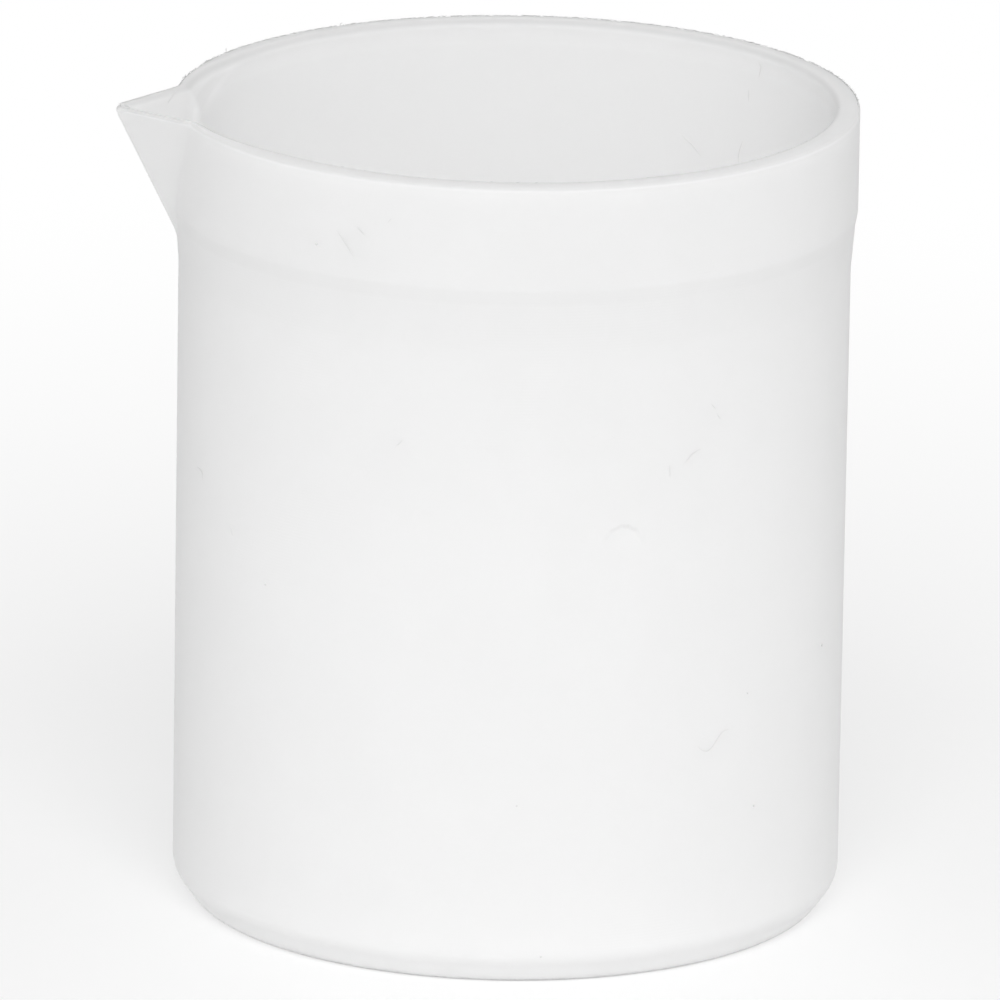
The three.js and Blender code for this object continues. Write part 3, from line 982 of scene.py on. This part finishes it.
class BEAKER_OT_make_burrs(bpy.types.Operator):
    """Makes the burrs that the tool left along both edges of the rim"""

    bl_idname = "beaker.make_burrs"
    bl_label = "Make Burrs"

    def execute(self, context):
        sizes, traces, looks = scene_settings(context.scene)
        tree = burr_tree()
        room = Vector((1, 1, 1)) * traces.burr_thickness
        shared = {
            **spout_values(sizes), "Seed": traces.burr_seed, "Sweep": traces.burr_sweep,
            "Burr Thickness": traces.burr_thickness, "Lowest": NODE_LOW + room,
            "Highest": NODE_HIGH - room, "Material": lint_material("dusty_burrs", looks.burr),
        }
        edges = {
            "outer_burrs": {
                "Count": traces.outer_burrs, "First Turn": math.radians(-187),
                "Last Turn": math.radians(-2), "Edge Radius": NODE_HIGH.y - 0.2 * MM,
                "Edge Height": NODE_HIGH.z - 1.05 * sizes.rim_fall, "Follow Spout": 1.0,
                "Root": -0.3 * MM, "Reach": traces.burr_reach,
            },
            "inner_burrs": {
                "Count": traces.inner_burrs, "First Turn": math.radians(45),
                "Last Turn": math.radians(175), "Edge Radius": shared["Rim Bore"] - 0.4 * MM,
                "Edge Height": NODE_HIGH.z - 0.1 * MM, "Follow Spout": 0.0,
                "Root": 0.6 * MM, "Reach": -traces.burr_reach,
            },
        }
        for name, edge in edges.items():
            burrs = bpy.data.objects.new(name, bpy.data.meshes.new(name))
            grow(burrs, tree, {**shared, **edge})
            hand_over(burrs)
        return {"FINISHED"}


class BEAKER_OT_make_stage(bpy.types.Operator):
    """Makes the floor, the soft light, the white background and the camera"""

    bl_idname = "beaker.make_stage"
    bl_label = "Make Stage"

    def execute(self, context):
        _, _, looks = scene_settings(context.scene)
        self.make_floor(looks)
        self.make_world(context.scene, looks)
        self.make_key_lamp(looks)
        self.make_camera(context.scene)
        context.scene.view_settings.view_transform = "Standard"
        return {"FINISHED"}

    def make_floor(self, looks):
        half = 4
        corners = [(-half, -half, 0), (half, -half, 0), (half, half, 0), (-half, half, 0)]
        mesh = bpy.data.meshes.new("floor")
        mesh.from_pydata(corners, [], [(0, 1, 2, 3)])
        mesh.materials.append(floor_material(looks))
        floor = bpy.data.objects.new("floor", mesh)
        bpy.context.scene.collection.objects.link(floor)

    def make_world(self, scene, looks):
        """Two soft walls of light, on the left and the right."""
        world = bpy.data.worlds.new("soft_room")
        world.use_nodes = True
        scene.world = world
        put = partial(add, world.node_tree)
        room, end = (world.node_tree.nodes[name] for name in ("Background", "World Output"))
        towards = put("ShaderNodeTexCoord").outputs["Generated"]
        sideways, _, upwards = put(SPLIT, towards).outputs
        panels = put("MULTIPLY", sideways, sideways)
        growing = put("MULTIPLY_ADD", upwards, looks.side_lift, looks.side_light)
        strength = put("MULTIPLY", panels, growing)
        feed(room, {"Color": (1, 1, 1, 1), "Strength": strength})
        white = put("ShaderNodeBackground", (1, 1, 1, 1), 1)
        feed(end, {"Surface": put("ShaderNodeMixShader", background_rays(put), room, white)})

    def make_key_lamp(self, looks):
        """One large soft lamp above the camera. Its power follows from its light on the beaker."""
        distance, size = 2.6, 1.6
        azimuth, elevation = math.radians(-3), math.radians(44)
        lamp = bpy.data.lights.new("key_lamp", "AREA")
        lamp.size = size
        lamp.energy = looks.key_light * math.pi ** 2 * distance ** 2
        towards = Vector((
            math.sin(azimuth) * math.cos(elevation),
            -math.cos(azimuth) * math.cos(elevation),
            math.sin(elevation),
        ))
        holder = bpy.data.objects.new("key_lamp", lamp)
        holder.location = towards * distance + Vector((0, 0, NODE_HIGH.z / 2))
        holder.rotation_euler = towards.to_track_quat("Z", "Y").to_euler()
        bpy.context.scene.collection.objects.link(holder)

    def make_camera(self, scene):
        """The photograph's viewpoint: a long lens above the rim, with the spout on the left."""
        lens = bpy.data.cameras.new("camera")
        lens.sensor_width = SENSOR_WIDTH
        lens.lens = FOCAL_PIXELS / PICTURE_PIXELS * SENSOR_WIDTH
        lens.clip_start, lens.clip_end = 0.1, 50
        eye = Vector((
            0,
            -CAMERA_DISTANCE * math.cos(CAMERA_ELEVATION),
            CAMERA_ORBIT_HEIGHT + CAMERA_DISTANCE * math.sin(CAMERA_ELEVATION),
        ))
        back = (eye - Vector((CAMERA_TARGET_ASIDE, 0, CAMERA_TARGET_HEIGHT))).normalized()
        right = Vector((0, 0, 1)).cross(back).normalized()
        upright = Matrix((right, back.cross(right), back)).transposed().to_4x4()
        rolled = upright @ Matrix.Rotation(CAMERA_ROLL, 4, "Z")
        camera = bpy.data.objects.new("camera", lens)
        orbit = Matrix.Rotation(-SPOUT_TOWARDS_CAMERA, 4, "Z")
        camera.matrix_world = orbit @ Matrix.Translation(eye) @ rolled
        scene.collection.objects.link(camera)
        scene.camera = camera


class BEAKER_PT_panel(bpy.types.Panel):
    """Sizes, looks and the steps that make the beaker"""

    bl_idname = "BEAKER_PT_panel"
    bl_label = "Laboratory Beaker"
    bl_space_type = "VIEW_3D"
    bl_region_type = "UI"
    bl_category = "Beaker"

    def draw(self, context):
        for settings in scene_settings(context.scene):
            box = self.layout.box()
            for name in settings.__annotations__:
                box.prop(settings, name)
        for step in STEPS:
            self.layout.operator(step.bl_idname)


STEPS = (
    BEAKER_OT_make_cup, BEAKER_OT_make_fibres, BEAKER_OT_make_specks, BEAKER_OT_make_burrs,
    BEAKER_OT_make_stage,
)
CLASSES = (BeakerSizes, BeakerTraces, BeakerLooks, *STEPS, BEAKER_PT_panel)


def register():
    for kind in CLASSES:
        bpy.utils.register_class(kind)
    bpy.types.Scene.beaker_sizes = bpy.props.PointerProperty(type=BeakerSizes)
    bpy.types.Scene.beaker_traces = bpy.props.PointerProperty(type=BeakerTraces)
    bpy.types.Scene.beaker_looks = bpy.props.PointerProperty(type=BeakerLooks)


def unregister():
    del bpy.types.Scene.beaker_looks
    del bpy.types.Scene.beaker_traces
    del bpy.types.Scene.beaker_sizes
    for kind in reversed(CLASSES):
        bpy.utils.unregister_class(kind)


def main():
    register()
    bpy.ops.beaker.make_cup()
    bpy.ops.beaker.make_fibres()
    bpy.ops.beaker.make_specks()
    bpy.ops.beaker.make_burrs()
    bpy.ops.beaker.make_stage()


if __name__ == "__main__":
    main()
